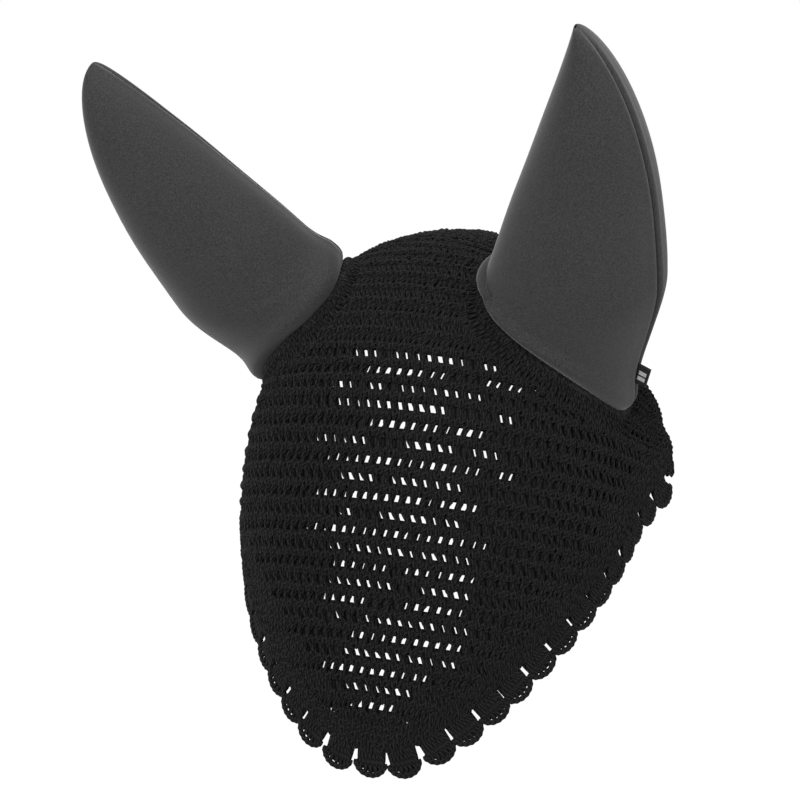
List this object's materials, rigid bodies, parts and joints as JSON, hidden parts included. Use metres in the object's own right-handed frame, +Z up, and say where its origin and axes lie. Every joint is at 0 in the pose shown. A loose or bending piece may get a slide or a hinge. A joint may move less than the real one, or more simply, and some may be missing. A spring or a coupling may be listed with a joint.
{
  "type": "horse ear bonnet fly mask",
  "caption": "Crocheted cotton fly hood for a horse's forehead and poll, with a pointed scalloped front edge and two padded soft ear covers that tilt.",
  "frame": {"origin": "poll of the horse: top of the head between the ears, on the crown's middle surface", "axes": "+Z up, horse faces -Y, +X is the horse's left side"},
  "size_m": [0.363, 0.1791, 0.4434],
  "materials": {
    "softshell": "brushed soft knit",
    "crochet_cotton": "twisted cotton yarn",
    "seam_thread": "sewn",
    "label_tape": "woven tape",
    "mark_thread": "woven"
  },
  "bodies": {
    "bonnet": {"crown_panel": "crochet_cotton", "edge_shell_01": "crochet_cotton", "edge_shell_02": "crochet_cotton", "edge_shell_03": "crochet_cotton", "edge_shell_04": "crochet_cotton", "edge_shell_05": "crochet_cotton", "edge_shell_06": "crochet_cotton", "edge_shell_07": "crochet_cotton", "edge_shell_08": "crochet_cotton", "edge_shell_09": "crochet_cotton", "edge_shell_10": "crochet_cotton", "edge_shell_11": "crochet_cotton", "edge_shell_12": "crochet_cotton", "edge_shell_13": "crochet_cotton", "edge_shell_14": "crochet_cotton", "edge_shell_15": "crochet_cotton", "edge_shell_16": "crochet_cotton", "edge_shell_17": "crochet_cotton", "edge_shell_18": "crochet_cotton", "edge_shell_19": "crochet_cotton", "edge_shell_20": "crochet_cotton", "edge_shell_21": "crochet_cotton", "edge_shell_22": "crochet_cotton", "edge_shell_23": "crochet_cotton", "edge_shell_24": "crochet_cotton", "edge_shell_25": "crochet_cotton", "edge_shell_26": "crochet_cotton", "edge_shell_27": "crochet_cotton", "edge_shell_28": "crochet_cotton", "edge_shell_29": "crochet_cotton", "face_panel": "crochet_cotton", "front_edge_band": "crochet_cotton", "left_ear_collar": "crochet_cotton", "left_side_flap": "crochet_cotton", "rear_edge_band": "crochet_cotton", "right_ear_collar": "crochet_cotton", "right_side_flap": "crochet_cotton"},
    "right_ear": {"right_ear_base_stitching": "crochet_cotton", "right_ear_front_panel": "softshell", "right_ear_inner_seam": "seam_thread", "right_ear_outer_seam": "seam_thread", "right_ear_rear_panel": "softshell", "ear_label": "label_tape", "ear_label_mark": "mark_thread"},
    "left_ear": {"left_ear_base_stitching": "crochet_cotton", "left_ear_front_panel": "softshell", "left_ear_inner_seam": "seam_thread", "left_ear_outer_seam": "seam_thread", "left_ear_rear_panel": "softshell"}
  },
  "joints": [
    {"name": "right_ear_tilt", "type": "hinge", "parent": "bonnet", "child": "right_ear", "pos_m": [0.0775, 0.034, -0.066], "axis": [0.6092, 0.5842, -0.5363], "range_deg": [-10, 15], "stiffness_Nm_per_rad": 1.5, "deforming": ["right_ear_collar"]},
    {"name": "left_ear_tilt", "type": "hinge", "parent": "bonnet", "child": "left_ear", "pos_m": [-0.0775, 0.034, -0.066], "axis": [0.6092, -0.5842, 0.5363], "range_deg": [-10, 15], "stiffness_Nm_per_rad": 1.5, "deforming": ["left_ear_collar"]}
  ]
}
